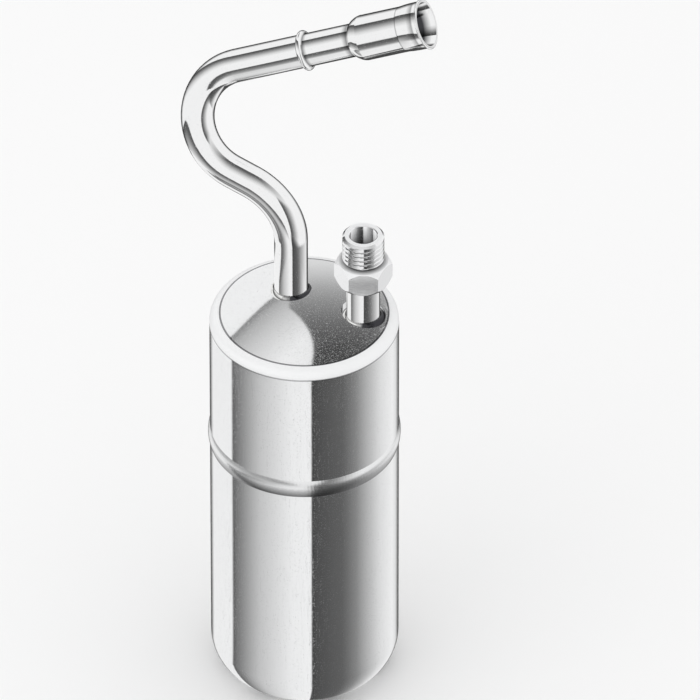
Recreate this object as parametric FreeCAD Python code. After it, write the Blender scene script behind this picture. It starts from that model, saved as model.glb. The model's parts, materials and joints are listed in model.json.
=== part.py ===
import FreeCAD, Part
import math
import os

# Filter drier for a vehicle air-conditioning circuit: a drawn aluminium
# canister in two shells, with a bent inlet pipe and a threaded outlet.
# Millimetres, +Z up, origin on the canister's axis in its flat bottom.

# Canister shells
BODY_R = 45.0
SHELL_WALL = 2.0
BOTTOM_CORNER_R = 18.5
SEAM_HEIGHT = 141.5
UPPER_WALL_LENGTH = 67.0
SHOULDER_R = 4.8
DOME_R = 170.0

# Girth seam: the lower shell's rim is necked in and slips into the upper one
SEAM_ROOT_GAP = 1.2
SEAM_BEVEL = 1.4
SEAM_OVERLAP = 11.0
SEAM_SLIP = 0.1
NECK_TAPER = 4.0
WELD_WIDTH = 9.6
WELD_PROUD = 0.9

# Tube that both the inlet and the outlet are made of
TUBE_R = 8.0
TUBE_WALL = 1.6
PORT_CLEARANCE = 0.1
COLLAR_DEPTH = 4.0
COLLAR_WALL = 1.8

# Inlet port, and the pipe's bend table from the dome to the socket
INLET_FROM_AXIS = 13.1
INLET_HEADING = 118.3
INLET_INSERTION = 9.0
PIPE_BEND_R = 28.0
PIPE_RISE = 31.1
FIRST_BEND_HEADING = 153.3
FIRST_BEND_ANGLE = 75.6
MIDDLE_STRAIGHT = 10.7
BEND_PLANE_ANGLE = -159.2
SECOND_BEND_ANGLE = 139.3
BEND_TO_BEAD = 36.7

# Upset bead and flared socket at the pipe's end
BEAD_R = 9.75
BEAD_THICKNESS = 2.4
BEAD_ROOT_FILLET = 0.5
BEAD_TO_SOCKET = 25.3
SOCKET_R = 10.85
SWAGE_LENGTH = 5.5
SWAGE_ALONG_RATIO = 0.62
SWAGE_RISE_RATIO = 0.80
SOCKET_LENGTH = 32.6
FLARE_LENGTH = 11.6
FLARE_R = 12.1
FLARE_RISE_RATIO = 0.38
LIP_R = 0.8

# Outlet port: a flat seat pressed into the dome near the shoulder
SEAT_R = 10.5
SEAT_MARGIN = 1.5
SEAT_DEPTH = 0.4
OUTLET_HEADING = -6.9
BRAZE_WIDTH = 1.8
BRAZE_HEIGHT = 2.6
BRAZE_HOLLOW_RATIO = 0.3

# Outlet fitting: hexagon and male nipple, brazed on the stub
STUB_HEIGHT = 22.3
HEX_ACROSS_FLATS = 24.0
HEX_HEIGHT = 12.7
HEX_CHAMFER = 2.8
HEX_FACE_INSET = 0.2
NIPPLE_R = 9.95
NIPPLE_LENGTH = 15.0
NIPPLE_RELIEF_R = 8.6
NIPPLE_RELIEF_LENGTH = 2.2
NIPPLE_CHAMFER = 1.0
FITTING_BORE_R = 6.5
FITTING_BORE_DEPTH = 12.0
FITTING_BORE_SHOULDER = 0.9
FITTING_SOCKET_DEPTH = 8.0
FITTING_SOCKET_CLEARANCE = 0.05
FITTING_BRAZE = 1.2

# Return tube inside: down to the floor, round, and up under the deflector
RETURN_BEND_R = 22.0
BLEED_HOLE_R = 0.8
OPEN_END_GAP = 5.0

# Deflector cup below the inlet
DEFLECTOR_DROP = 9.0
DEFLECTOR_WALL = 1.2
DEFLECTOR_SKIRT = 12.0
DEFLECTOR_EDGE_GAP = 2.0
DEFLECTOR_CORNER_R = 4.0
DEFLECTOR_COLLAR_HEIGHT = 4.0

# Oil filter that stands under the return bend
FILTER_R = 11.0
FILTER_HEIGHT = 20.0
FILTER_WALL = 1.5
FILTER_FLOOR_GAP = 0.3
FILTER_SADDLE = 5.0
FILTER_FIT = 0.1
FILTER_WINDOW_COUNT = 6
FILTER_WINDOW_WIDTH = 7.0
FILTER_WINDOW_SILL = 3.5
FILTER_WINDOW_HEIGHT = 8.0
SCREEN_WALL = 0.3
PLUG_HEIGHT = 2.0

# Desiccant bags on both sides of the return tube, and the ties round them
BAG_SHELL_GAP = 3.0
BAG_TUBE_GAP = 0.4
BAG_FLOOR_GAP = 30.0
BAG_HEIGHT = 80.0
BAG_EDGE_R = 6.0
TIE_GAP = 0.1
TIE_THICKNESS = 0.9
TIE_WIDTH = 4.8
TIE_INSET = 20.0
TIE_HEAD_LENGTH = 9.0
TIE_HEAD_THICKNESS = 1.8

# Clip that keeps the return tube's two legs apart
SPACER_ABOVE_SEAM = 22.0
SPACER_HEIGHT = 8.0
SPACER_WALL = 2.2
SPACER_BAR_WIDTH = 5.0

# Worked out from the sizes above
Z_AXIS = FreeCAD.Vector(0, 0, 1)
SHOULDER_Z = SEAM_HEIGHT + UPPER_WALL_LENGTH
DOME_CENTRE_Z = SHOULDER_Z - math.sqrt((DOME_R - SHOULDER_R) ** 2 - (BODY_R - SHOULDER_R) ** 2)
OUTLET_FROM_AXIS = BODY_R - SHOULDER_R - SEAT_R - SEAT_MARGIN
SOCKET_BORE_R = SOCKET_R - TUBE_WALL
BAG_R = BODY_R - SHELL_WALL - BAG_SHELL_GAP


def vec(x, y, z=0.0):
    return FreeCAD.Vector(x, y, z)


def polar(radius, heading, z=0.0):
    angle = math.radians(heading)
    return vec(radius * math.cos(angle), radius * math.sin(angle), z)


def dome_height(radius, depth=0.0):
    """Height of the dome's surface, or of one that lies depth below it."""
    return DOME_CENTRE_Z + math.sqrt((DOME_R - depth) ** 2 - radius ** 2)


def outline(start, *moves):
    """Closed face in the X-Z plane. A move is an end point, or an arc's middle and end."""
    edges = []
    here = start
    for move in list(moves) + [start]:
        if isinstance(move[0], tuple):
            middle, end = move
            arc = Part.Arc(*[vec(p[0], 0, p[1]) for p in (here, middle, end)])
            edges.append(arc.toShape())
        else:
            end = move
            if math.dist(here, end) < 1e-6:
                continue
            edges.append(Part.makeLine(vec(here[0], 0, here[1]), vec(end[0], 0, end[1])))
        here = end
    return Part.Face(Part.Wire(edges))


def turned(start, *moves):
    """Solid turned about the Z axis from a closed outline of (radius, height) points."""
    return outline(start, *moves).revolve(vec(0, 0), Z_AXIS, 360)


def on_arc(centre, radius, degrees):
    angle = math.radians(degrees)
    return (centre[0] + radius * math.cos(angle), centre[1] + radius * math.sin(angle))


def rod(radius, height, base):
    return Part.makeCylinder(radius, height, base)


def ring(inner, outer, height, base):
    return rod(outer, height, base).cut(rod(inner, height, base))


INLET = polar(INLET_FROM_AXIS, INLET_HEADING)
OUTLET = polar(OUTLET_FROM_AXIS, OUTLET_HEADING)
OUTLET_SIDE = polar(1.0, OUTLET_HEADING)
INLET_PORT_Z = dome_height(INLET_FROM_AXIS)
SEAT_Z = dome_height(OUTLET_FROM_AXIS + SEAT_R) - SEAT_DEPTH
FITTING_Z = SEAT_Z + STUB_HEIGHT
RETURN_BOTTOM_Z = SHELL_WALL + FILTER_FLOOR_GAP + FILTER_HEIGHT - FILTER_SADDLE + TUBE_R
RETURN_BEND_Z = RETURN_BOTTOM_Z + RETURN_BEND_R
DEFLECTOR_TOP_Z = INLET_PORT_Z - INLET_INSERTION - DEFLECTOR_DROP
DEFLECTOR_CEILING_Z = DEFLECTOR_TOP_Z - DEFLECTOR_WALL
FILTER_BASE_Z = SHELL_WALL + FILTER_FLOOR_GAP


def dome_outline(depth):
    """Points of the domed end: wall, shoulder arc and crown arc, depth inside the surface."""
    shoulder_centre = (BODY_R - SHOULDER_R, SHOULDER_Z)
    rise = math.degrees(math.asin((BODY_R - SHOULDER_R) / (DOME_R - SHOULDER_R)))
    dome_centre = (0.0, DOME_CENTRE_Z)
    wall = (BODY_R - depth, SHOULDER_Z)
    shoulder_mid = on_arc(shoulder_centre, SHOULDER_R - depth, (90 - rise) / 2)
    shoulder_end = on_arc(dome_centre, DOME_R - depth, 90 - rise)
    crown_mid = on_arc(dome_centre, DOME_R - depth, 90 - rise / 2)
    crown = (0.0, DOME_CENTRE_Z + DOME_R - depth)
    return wall, shoulder_mid, shoulder_end, crown_mid, crown


def upper_shell():
    """Domed upper shell: its open rim is bevelled for the weld."""
    rim_z = SEAM_HEIGHT + SEAM_ROOT_GAP / 2
    outer = dome_outline(0.0)
    inner = dome_outline(SHELL_WALL)
    shell = turned(
        (BODY_R, rim_z + SEAM_BEVEL), outer[0], outer[1:3], outer[3:5],
        inner[4], (inner[3], inner[2]), (inner[1], inner[0]),
        (BODY_R - SHELL_WALL, rim_z))
    envelope = turned((0.0, rim_z), (BODY_R, rim_z), outer[0], outer[1:3], outer[3:5])

    for port, surface_z in ((INLET, INLET_PORT_Z), (OUTLET, SEAT_Z)):
        collar_r = TUBE_R + PORT_CLEARANCE + COLLAR_WALL
        collar_z = surface_z - SHELL_WALL - COLLAR_DEPTH
        collar = rod(collar_r, SHELL_WALL + 2 * COLLAR_DEPTH, port + Z_AXIS * collar_z)
        shell = shell.fuse(collar.common(envelope))

    seat_base = OUTLET + Z_AXIS * (SEAT_Z - SHELL_WALL)
    shell = shell.fuse(rod(SEAT_R + SHELL_WALL, DOME_R, seat_base).common(envelope))
    shell = shell.cut(rod(SEAT_R, DOME_R, OUTLET + Z_AXIS * SEAT_Z))
    for port in (INLET, OUTLET):
        shell = shell.cut(rod(TUBE_R + PORT_CLEARANCE, DOME_R, port + Z_AXIS * SEAM_HEIGHT))
    return shell.removeSplitter()


def lower_shell():
    """Deep-drawn lower shell: flat bottom, large corner, necked rim as weld backing."""
    corner = (BODY_R - BOTTOM_CORNER_R, BOTTOM_CORNER_R)
    inner_corner_r = BOTTOM_CORNER_R - SHELL_WALL
    neck_r = BODY_R - SHELL_WALL - SEAM_SLIP
    root_z = SEAM_HEIGHT - SEAM_ROOT_GAP / 2
    return turned(
        (0.0, 0.0), (corner[0], 0.0),
        (on_arc(corner, BOTTOM_CORNER_R, -45), (BODY_R, BOTTOM_CORNER_R)),
        (BODY_R, root_z - SEAM_BEVEL), (neck_r, root_z), (neck_r, root_z + SEAM_OVERLAP),
        (neck_r - SHELL_WALL, root_z + SEAM_OVERLAP), (neck_r - SHELL_WALL, root_z),
        (BODY_R - SHELL_WALL, root_z - NECK_TAPER), (BODY_R - SHELL_WALL, BOTTOM_CORNER_R),
        (on_arc(corner, inner_corner_r, -45), (corner[0], SHELL_WALL)),
        (0.0, SHELL_WALL))


def girth_weld():
    """Weld that fills the V between the shells, with a low half-round bead outside."""
    half = WELD_WIDTH / 2
    root = SEAM_ROOT_GAP / 2
    neck_r = BODY_R - SHELL_WALL - SEAM_SLIP
    return turned(
        (BODY_R, SEAM_HEIGHT - half),
        ((BODY_R + WELD_PROUD, SEAM_HEIGHT), (BODY_R, SEAM_HEIGHT + half)),
        (BODY_R, SEAM_HEIGHT + root + SEAM_BEVEL), (BODY_R - SHELL_WALL, SEAM_HEIGHT + root),
        (neck_r, SEAM_HEIGHT + root), (neck_r, SEAM_HEIGHT - root),
        (BODY_R, SEAM_HEIGHT - root - SEAM_BEVEL))


class TubeRun:
    """Bends a tube step by step: straights and arcs that leave from its open end."""

    def __init__(self, start, heading, normal):
        self.here = start
        self.heading = heading
        self.normal = normal
        self.spans = []

    def section(self, radius):
        return Part.Face(Part.Wire(Part.makeCircle(radius, self.here, self.heading)))

    def straight(self, length):
        step = self.heading * length
        self.spans.append([self.section(r).extrude(step) for r in (TUBE_R, TUBE_R - TUBE_WALL)])
        self.here = self.here + step

    def twist(self, degrees):
        self.normal = FreeCAD.Rotation(self.heading, degrees).multVec(self.normal)

    def bend(self, bend_r, degrees):
        centre = self.here + self.normal.cross(self.heading) * bend_r
        self.spans.append(
            [self.section(r).revolve(centre, self.normal, degrees) for r in (TUBE_R, TUBE_R - TUBE_WALL)])
        turn = FreeCAD.Rotation(self.normal, degrees)
        self.here = centre + turn.multVec(self.here - centre)
        self.heading = turn.multVec(self.heading)

    def solid(self):
        outer = self.spans[0][0].multiFuse([span[0] for span in self.spans[1:]])
        inner = self.spans[0][1].multiFuse([span[1] for span in self.spans[1:]])
        return outer.removeSplitter().cut(inner.removeSplitter())


def pipe_end():
    """Formed end along +Z from the last bend: upset bead, swaged socket and flared mouth."""
    bore_r = TUBE_R - TUBE_WALL
    bead_low = BEND_TO_BEAD - BEAD_THICKNESS / 2
    bead_high = BEND_TO_BEAD + BEAD_THICKNESS / 2
    swage_z = BEND_TO_BEAD + BEAD_TO_SOCKET
    socket_z = swage_z + SWAGE_LENGTH
    flare_z = socket_z + SOCKET_LENGTH - FLARE_LENGTH
    mouth_z = socket_z + SOCKET_LENGTH
    swage_mid_z = swage_z + SWAGE_ALONG_RATIO * SWAGE_LENGTH
    swage_mid_r = TUBE_R + SWAGE_RISE_RATIO * (SOCKET_R - TUBE_R)
    flare_mid_r = SOCKET_R + FLARE_RISE_RATIO * (FLARE_R - SOCKET_R)
    flare_mid_z = (flare_z + mouth_z) / 2
    crest_r = BEAD_R - BEAD_THICKNESS / 2
    lip_z = mouth_z - LIP_R
    return turned(
        (bore_r, 0.0), (TUBE_R, 0.0), (TUBE_R, bead_low - BEAD_ROOT_FILLET),
        (TUBE_R + BEAD_ROOT_FILLET, bead_low), (crest_r, bead_low),
        ((BEAD_R, BEND_TO_BEAD), (crest_r, bead_high)),
        (TUBE_R + BEAD_ROOT_FILLET, bead_high), (TUBE_R, bead_high + BEAD_ROOT_FILLET),
        (TUBE_R, swage_z),
        ((swage_mid_r, swage_mid_z), (SOCKET_R, socket_z)), (SOCKET_R, flare_z),
        ((flare_mid_r, flare_mid_z), (FLARE_R - LIP_R, lip_z)),
        ((FLARE_R, mouth_z - LIP_R / 2), (FLARE_R - LIP_R, mouth_z)),
        (FLARE_R - TUBE_WALL, mouth_z),
        ((flare_mid_r - TUBE_WALL, flare_mid_z), (SOCKET_BORE_R, flare_z)),
        (SOCKET_BORE_R, socket_z), (bore_r, swage_z))


def inlet_pipe():
    """Inlet pipe in one piece: two bends, bead, socket and flare."""
    start = INLET + Z_AXIS * (INLET_PORT_Z - INLET_INSERTION)
    first_side = polar(1.0, FIRST_BEND_HEADING + 90.0)
    run = TubeRun(start, Z_AXIS, first_side)
    run.straight(INLET_INSERTION + PIPE_RISE)
    run.bend(PIPE_BEND_R, FIRST_BEND_ANGLE)
    run.straight(MIDDLE_STRAIGHT)
    run.twist(BEND_PLANE_ANGLE)
    run.bend(PIPE_BEND_R, SECOND_BEND_ANGLE)
    end = pipe_end()
    end.Placement = FreeCAD.Placement(run.here, FreeCAD.Rotation(Z_AXIS, run.heading))
    return run.solid().fuse(end).removeSplitter(), run


def outlet_tube():
    """Outlet tube: from the fitting down to the floor, round and up under the deflector."""
    top_z = FITTING_Z + FITTING_SOCKET_DEPTH - FITTING_SOCKET_CLEARANCE
    side = polar(1.0, OUTLET_HEADING + 90.0)
    run = TubeRun(OUTLET + Z_AXIS * top_z, -Z_AXIS, side)
    run.straight(top_z - RETURN_BEND_Z)
    run.bend(RETURN_BEND_R, 180.0)
    run.straight(DEFLECTOR_CEILING_Z - OPEN_END_GAP - RETURN_BEND_Z)
    bleed = rod(BLEED_HOLE_R, TUBE_R, filter_centre() + Z_AXIS * (RETURN_BOTTOM_Z - 1.5 * TUBE_R))
    return run.solid().cut(bleed), run


def filter_centre():
    return OUTLET - OUTLET_SIDE * RETURN_BEND_R


def braze_fillet(width, height, base_z, top_z):
    """Concave ring of filler that runs up a tube, about the Z axis."""
    middle = (TUBE_R + BRAZE_HOLLOW_RATIO * width, top_z + BRAZE_HOLLOW_RATIO * height)
    return turned(
        (TUBE_R, base_z), (TUBE_R + width, base_z), (TUBE_R + width, top_z),
        (middle, (TUBE_R, top_z + height)))


def inlet_braze(shell):
    """Filler ring between the inlet pipe and the sloping dome."""
    drop = INLET_PORT_Z - dome_height(INLET_FROM_AXIS + TUBE_R + BRAZE_WIDTH)
    fillet = braze_fillet(BRAZE_WIDTH, BRAZE_HEIGHT, INLET_PORT_Z - drop - SHELL_WALL / 2, INLET_PORT_Z)
    fillet.translate(INLET)
    solids = fillet.cut(shell).Solids
    return max(solids, key=lambda piece: piece.Volume)


def outlet_braze():
    """Filler ring round the stub on its flat seat."""
    fillet = braze_fillet(BRAZE_WIDTH, BRAZE_HEIGHT, SEAT_Z, SEAT_Z)
    fillet.translate(OUTLET)
    return fillet


def fitting_braze():
    """Thin filler ring round the stub under the hexagon."""
    middle = (TUBE_R + BRAZE_HOLLOW_RATIO * FITTING_BRAZE, FITTING_Z - BRAZE_HOLLOW_RATIO * FITTING_BRAZE)
    fillet = turned(
        (TUBE_R, FITTING_Z - FITTING_BRAZE), (middle, (TUBE_R + FITTING_BRAZE, FITTING_Z)),
        (TUBE_R, FITTING_Z))
    fillet.translate(OUTLET)
    return fillet


def hexagon(across_flats, height):
    """Upright hexagonal bar with a flat to the front and its corners chamfered."""
    corner_r = across_flats / math.sqrt(3)
    corners = [polar(corner_r, 60 * i) for i in range(7)]
    bar = Part.Face(Part.makePolygon(corners)).extrude(Z_AXIS * height)
    flat_r = across_flats / 2 - HEX_FACE_INSET
    return bar.common(turned(
        (0.0, 0.0), (flat_r, 0.0), (corner_r, HEX_CHAMFER), (corner_r, height - HEX_CHAMFER),
        (flat_r, height), (0.0, height)))


def outlet_fitting():
    """Hexagon with a male nipple at the thread's major diameter, and a stepped bore."""
    nipple_base = HEX_HEIGHT
    nipple_top = HEX_HEIGHT + NIPPLE_LENGTH
    relief_top = nipple_base + NIPPLE_RELIEF_LENGTH
    nipple = turned(
        (0.0, 0.0), (NIPPLE_RELIEF_R, 0.0), (NIPPLE_RELIEF_R, relief_top),
        (NIPPLE_R, relief_top + NIPPLE_R - NIPPLE_RELIEF_R),
        (NIPPLE_R, nipple_top - NIPPLE_CHAMFER), (NIPPLE_R - NIPPLE_CHAMFER, nipple_top),
        (0.0, nipple_top))
    body = hexagon(HEX_ACROSS_FLATS, HEX_HEIGHT).fuse(nipple)
    body = body.cut(rod(FITTING_BORE_R - FITTING_BORE_SHOULDER, nipple_top, vec(0, 0)))
    body = body.cut(rod(FITTING_BORE_R, FITTING_BORE_DEPTH, vec(0, 0, nipple_top - FITTING_BORE_DEPTH)))
    body = body.cut(rod(TUBE_R + FITTING_SOCKET_CLEARANCE, FITTING_SOCKET_DEPTH, vec(0, 0)))
    body = body.removeSplitter()
    body.translate(OUTLET + Z_AXIS * FITTING_Z)
    return body


def deflector():
    """Spun cup below the inlet, held by a collar on the outlet tube."""
    outer_r = BODY_R - SHELL_WALL - DEFLECTOR_EDGE_GAP
    low_z = DEFLECTOR_TOP_Z - DEFLECTOR_SKIRT
    centre = (outer_r - DEFLECTOR_CORNER_R, DEFLECTOR_TOP_Z - DEFLECTOR_CORNER_R)
    inner_corner_r = DEFLECTOR_CORNER_R - DEFLECTOR_WALL
    cup = turned(
        (0.0, DEFLECTOR_TOP_Z), (centre[0], DEFLECTOR_TOP_Z),
        (on_arc(centre, DEFLECTOR_CORNER_R, 45), (outer_r, centre[1])),
        (outer_r, low_z), (outer_r - DEFLECTOR_WALL, low_z), (outer_r - DEFLECTOR_WALL, centre[1]),
        (on_arc(centre, inner_corner_r, 45), (centre[0], DEFLECTOR_CEILING_Z)),
        (0.0, DEFLECTOR_CEILING_Z))
    hole_r = TUBE_R + PORT_CLEARANCE
    foot = OUTLET + Z_AXIS * DEFLECTOR_CEILING_Z
    collar = rod(hole_r + DEFLECTOR_WALL, DEFLECTOR_WALL + DEFLECTOR_COLLAR_HEIGHT, foot)
    return cup.fuse(collar).cut(rod(hole_r, DEFLECTOR_SKIRT, foot)).removeSplitter()


def oil_filter():
    """Filter under the return bend: windowed cage, screen inside it and a plug below."""
    centre = filter_centre()
    base = centre + Z_AXIS * FILTER_BASE_Z
    cage_bore_r = FILTER_R - FILTER_WALL
    plug_top = PLUG_HEIGHT + FILTER_FIT
    roof = FILTER_WINDOW_SILL + FILTER_WINDOW_HEIGHT + FILTER_WALL

    cage = rod(FILTER_R, FILTER_HEIGHT, base).cut(rod(cage_bore_r, roof, base))
    for i in range(FILTER_WINDOW_COUNT):
        window = Part.makeBox(
            FILTER_R, FILTER_WINDOW_WIDTH, FILTER_WINDOW_HEIGHT,
            vec(FILTER_R / 2, -FILTER_WINDOW_WIDTH / 2, FILTER_WINDOW_SILL))
        window.rotate(vec(0, 0), Z_AXIS, 360.0 * i / FILTER_WINDOW_COUNT)
        cage = cage.cut(window.translated(base))
    saddle = TubeRun(centre + OUTLET_SIDE * RETURN_BEND_R + Z_AXIS * RETURN_BEND_Z, -Z_AXIS,
                     polar(1.0, OUTLET_HEADING + 90.0))
    groove = saddle.section(TUBE_R + FILTER_FIT).revolve(
        centre + Z_AXIS * RETURN_BEND_Z, saddle.normal, 180.0)
    duct = rod(BLEED_HOLE_R * 2, FILTER_HEIGHT, base)
    cage = cage.cut(groove).cut(duct)

    screen_r = cage_bore_r - FILTER_FIT
    screen = ring(screen_r - SCREEN_WALL, screen_r, roof - plug_top - FILTER_FIT, base + Z_AXIS * plug_top)
    plug = rod(cage_bore_r - FILTER_FIT, PLUG_HEIGHT, base)
    return cage, screen, plug


def desiccant_bag(side):
    """Flat-backed pouch that fills one half of the canister beside the return tube."""
    low_z = SHELL_WALL + BAG_FLOOR_GAP
    offset = TUBE_R + BAG_TUBE_GAP
    pillow = rod(BAG_R, BAG_HEIGHT, vec(0, 0, low_z))
    keep = Part.makeBox(2 * BAG_R, BAG_R, BAG_HEIGHT, vec(-BAG_R, offset, low_z))
    keep.rotate(vec(0, 0), Z_AXIS, OUTLET_HEADING + (0 if side > 0 else 180))
    pouch = pillow.common(keep)
    return pouch.makeFillet(BAG_EDGE_R, pouch.Edges)


def bag_tie(z, heading):
    """Nylon tie round both bags, with its locking head."""
    inner_r = BAG_R + TIE_GAP
    band = ring(inner_r, inner_r + TIE_THICKNESS, TIE_WIDTH, vec(0, 0, z))
    head = ring(inner_r, inner_r + TIE_HEAD_THICKNESS, TIE_WIDTH, vec(0, 0, z))
    wedge = Part.makeBox(TIE_HEAD_LENGTH, BAG_R, TIE_WIDTH, vec(-TIE_HEAD_LENGTH / 2, BAG_R / 2, z))
    wedge.rotate(vec(0, 0), Z_AXIS, heading)
    return band.fuse(head.common(wedge)).removeSplitter()


def tube_spacer():
    """Moulded clip: two rings on the tube's legs, joined by a bar."""
    z = SEAM_HEIGHT + SPACER_ABOVE_SEAM
    hole_r = TUBE_R + PORT_CLEARANCE
    legs = [OUTLET + Z_AXIS * z, OUTLET - OUTLET_SIDE * (2 * RETURN_BEND_R) + Z_AXIS * z]
    bar = Part.makeBox(2 * RETURN_BEND_R, SPACER_BAR_WIDTH, SPACER_HEIGHT,
                       vec(-2 * RETURN_BEND_R, -SPACER_BAR_WIDTH / 2, 0))
    bar.rotate(vec(0, 0), Z_AXIS, OUTLET_HEADING)
    clip = bar.translated(legs[0])
    for leg in legs:
        clip = clip.fuse(rod(hole_r + SPACER_WALL, SPACER_HEIGHT, leg))
    for leg in legs:
        clip = clip.cut(rod(hole_r, SPACER_HEIGHT, leg))
    return clip.removeSplitter()


def build():
    shell = upper_shell()
    pipe, pipe_run = inlet_pipe()
    tube, tube_run = outlet_tube()
    cage, screen, plug = oil_filter()
    bag_low = SHELL_WALL + BAG_FLOOR_GAP
    nodes = {
        "upper_shell": shell,
        "lower_shell": lower_shell(),
        "girth_weld": girth_weld(),
        "inlet_pipe": pipe,
        "inlet_braze": inlet_braze(shell),
        "outlet_tube": tube,
        "outlet_braze": outlet_braze(),
        "outlet_fitting": outlet_fitting(),
        "fitting_braze": fitting_braze(),
        "deflector": deflector(),
        "oil_filter_cage": cage,
        "oil_filter_screen": screen,
        "oil_filter_plug": plug,
        "desiccant_bag_rear": desiccant_bag(1),
        "desiccant_bag_front": desiccant_bag(-1),
        "bag_tie_lower": bag_tie(bag_low + TIE_INSET, OUTLET_HEADING),
        "bag_tie_upper": bag_tie(bag_low + BAG_HEIGHT - TIE_INSET - TIE_WIDTH, OUTLET_HEADING),
        "tube_spacer": tube_spacer(),
    }
    print("pipe end at", pipe_run.here, "pointing", pipe_run.heading)
    print("return tube's open end at", tube_run.here)
    return nodes


os.makedirs("parts", exist_ok=True)
for name, shape in build().items():
    print(name, "solids", len(shape.Solids), "valid", shape.isValid(), "volume", round(shape.Volume, 1))
    shape.exportStep("parts/" + name + ".step")
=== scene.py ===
import bpy
import bmesh
import json
import math
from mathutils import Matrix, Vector, noise

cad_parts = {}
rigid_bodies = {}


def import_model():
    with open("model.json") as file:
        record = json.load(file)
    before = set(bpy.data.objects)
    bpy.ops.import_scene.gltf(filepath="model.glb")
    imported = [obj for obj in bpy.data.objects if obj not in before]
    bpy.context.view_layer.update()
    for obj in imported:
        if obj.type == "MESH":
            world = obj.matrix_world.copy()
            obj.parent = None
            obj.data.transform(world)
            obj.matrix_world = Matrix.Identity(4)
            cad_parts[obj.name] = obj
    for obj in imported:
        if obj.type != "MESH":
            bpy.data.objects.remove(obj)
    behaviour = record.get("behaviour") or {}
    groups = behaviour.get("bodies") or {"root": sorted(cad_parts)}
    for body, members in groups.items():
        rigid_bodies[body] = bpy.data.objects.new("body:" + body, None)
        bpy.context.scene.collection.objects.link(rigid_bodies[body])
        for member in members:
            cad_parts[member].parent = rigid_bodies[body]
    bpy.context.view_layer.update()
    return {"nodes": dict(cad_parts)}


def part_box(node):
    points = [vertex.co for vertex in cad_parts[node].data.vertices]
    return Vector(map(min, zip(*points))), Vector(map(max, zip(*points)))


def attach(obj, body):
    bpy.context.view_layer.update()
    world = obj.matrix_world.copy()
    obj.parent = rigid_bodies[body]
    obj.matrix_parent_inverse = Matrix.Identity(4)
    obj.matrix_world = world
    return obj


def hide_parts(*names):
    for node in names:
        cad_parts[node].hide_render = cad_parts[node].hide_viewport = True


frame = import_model()
scene = bpy.context.scene
nodes = frame["nodes"]

# Camera: a very long lens from the front, 39.5 degrees above the horizon, that
# takes in the canister below and the pipe's mouth at the top.
VIEW_ELEVATION = math.radians(39.5)
VIEW_WIDTH = 0.3366
LENS = 1000.0
SENSOR = 36.0
AIM_RIGHT = 0.0217
AIM_UP = 0.1467

look = Vector((0, math.cos(VIEW_ELEVATION), -math.sin(VIEW_ELEVATION)))
lift = Vector((0, math.sin(VIEW_ELEVATION), math.cos(VIEW_ELEVATION)))
camera_data = bpy.data.cameras.new("camera")
camera_data.lens = LENS
camera_data.sensor_width = SENSOR
camera_data.clip_end = 50
camera = bpy.data.objects.new("camera", camera_data)
camera.location = Vector((AIM_RIGHT, 0, 0)) + lift * AIM_UP
camera.location -= look * VIEW_WIDTH * LENS / SENSOR
camera.rotation_euler = look.to_track_quat("-Z", "Y").to_euler()
scene.collection.objects.link(camera)
scene.camera = camera
scene.view_settings.view_transform = "Standard"


# Floor: a wide sheet of white paper. Polished metal that stands on it mirrors
# it, with the dark flags that a studio lays out of sight to shape a cylinder.
FLOOR_SIZE = 8.0
FLOOR_GAP = 0.0002
PAPER = 0.93
PALE = 0.96
BODY_RADIUS = (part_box("lower_shell")[1].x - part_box("lower_shell")[0].x) / 2
FLAG_SOLVE_STEPS = 3
FLAG_END = 0.335
FLAG_FADE = 0.03
# Levels that the wall mirrors, by how far each place is across the canister, from -1 to 1
FLAG_LEVELS = [
    (-1.0, 0.06), (-0.988, 0.12), (-0.965, 0.92), (-0.77, 0.95), (-0.755, 0.10), (-0.727, 0.18),
    (-0.66, 0.28), (-0.56, 0.45), (-0.47, 0.60), (-0.30, 0.76), (-0.13, 0.92), (0.070, PALE),
    (0.080, 0.05), (0.12, 0.08), (0.30, 0.11), (0.40, 0.125), (0.46, 0.17), (0.55, 0.26),
    (0.63, 0.42), (0.72, 0.60), (0.80, 0.78), (0.93, 0.94), (0.965, 0.80), (0.988, 0.12),
    (1.0, 0.06),
]
SOFT_EDGE = 0.001
# Past what the wall mirrors, the upright stretch of the inlet pipe has flags of its own
WALL_THROW = 0.2535
LEG_AXIS = Vector((-0.0062, 0.0115))
LEG_SLIDE = [(0.283, 0.13), (0.305, 0.0)]
LEG_SLIDE_SIDE = [(-0.2, 1.0), (0.0, 0.0)]
LEG_LEVELS = [
    (-1.0, 0.04), (-0.94, 0.08), (-0.90, PALE), (-0.585, PALE), (-0.57, 0.08), (-0.42, 0.26),
    (-0.15, 0.92), (0.065, PALE), (0.085, 0.05), (0.30, 0.12), (0.45, 0.22), (0.65, 0.50),
    (0.88, 0.90), (0.93, 0.10), (1.0, 0.04),
]
# The hexagon's front flat mirrors one grey card
CARD_LOW = Vector((0.012, -0.318))
CARD_HIGH = Vector((0.046, -0.3005))
CARD_LEVELS = [(CARD_LOW.y, 0.08), (CARD_HIGH.y, 0.50)]
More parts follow.
